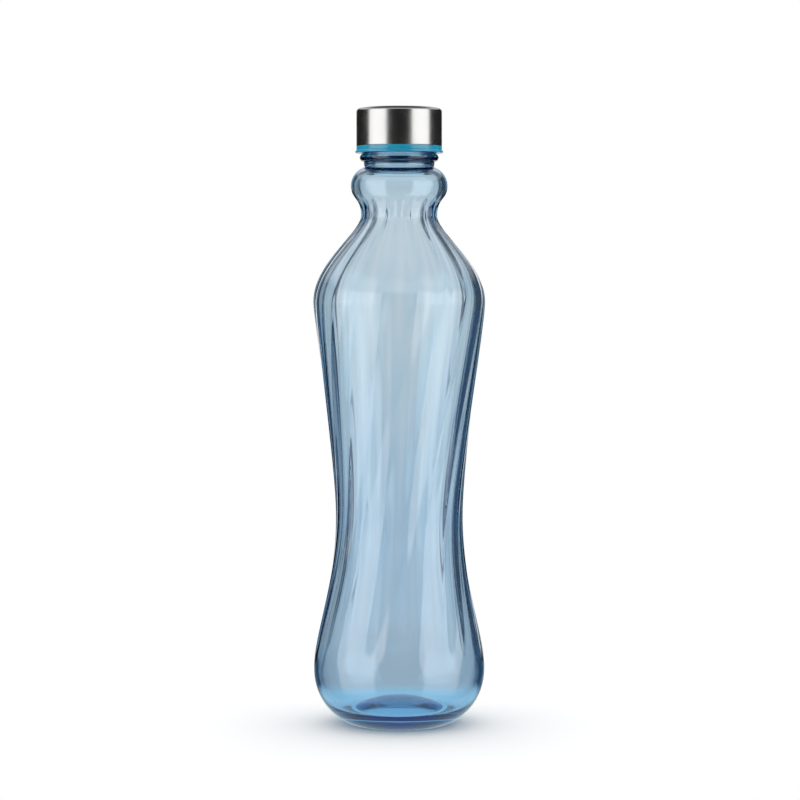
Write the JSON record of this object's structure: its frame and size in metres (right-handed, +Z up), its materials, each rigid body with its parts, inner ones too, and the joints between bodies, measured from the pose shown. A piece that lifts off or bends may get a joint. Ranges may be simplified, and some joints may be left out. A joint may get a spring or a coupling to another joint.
{
  "type": "glass water bottle",
  "caption": "Waisted glass water bottle with swirled flutes, a rounded neck collar and a steel-skinned screw cap with an inner seal.",
  "frame": {"origin": "centre of the standing ring, on the table plane", "axes": "+Z up along the bottle's axis; the bottle is round, so +X and +Y are any two level directions, with +Y away from the viewer"},
  "size_m": [0.0882, 0.0882, 0.3156],
  "materials": {
    "blue_glass": "clear, faintly blue soda-lime glass with swirled flutes",
    "cap_steel": "drawn stainless steel, finely brushed round the cap",
    "liner_plastic": "glossy, slightly see-through blue polypropylene",
    "seal_rubber": "soft matt food-grade silicone, off-white"
  },
  "bodies": {
    "bottle": {"glass_bottle": "blue_glass"},
    "seal": {"seal_disc": "seal_rubber"},
    "cap": {"cap_shell": "cap_steel", "screw_liner": "liner_plastic"}
  },
  "joints": [
    {"name": "cap_lift", "type": "slide", "parent": "bottle", "child": "seal", "axis": [0, 0, 1], "range_m": [0, 0.042]},
    {"name": "cap_turn", "type": "hinge", "parent": "seal", "child": "cap", "pos_m": [0, 0, 0.3], "axis": [0, 0, 1], "range_deg": [0, 3600]}
  ],
  "couplings": [
    {"joint": "cap_lift", "follows": "cap_turn", "m_per_rad": 0.00066845}
  ]
}
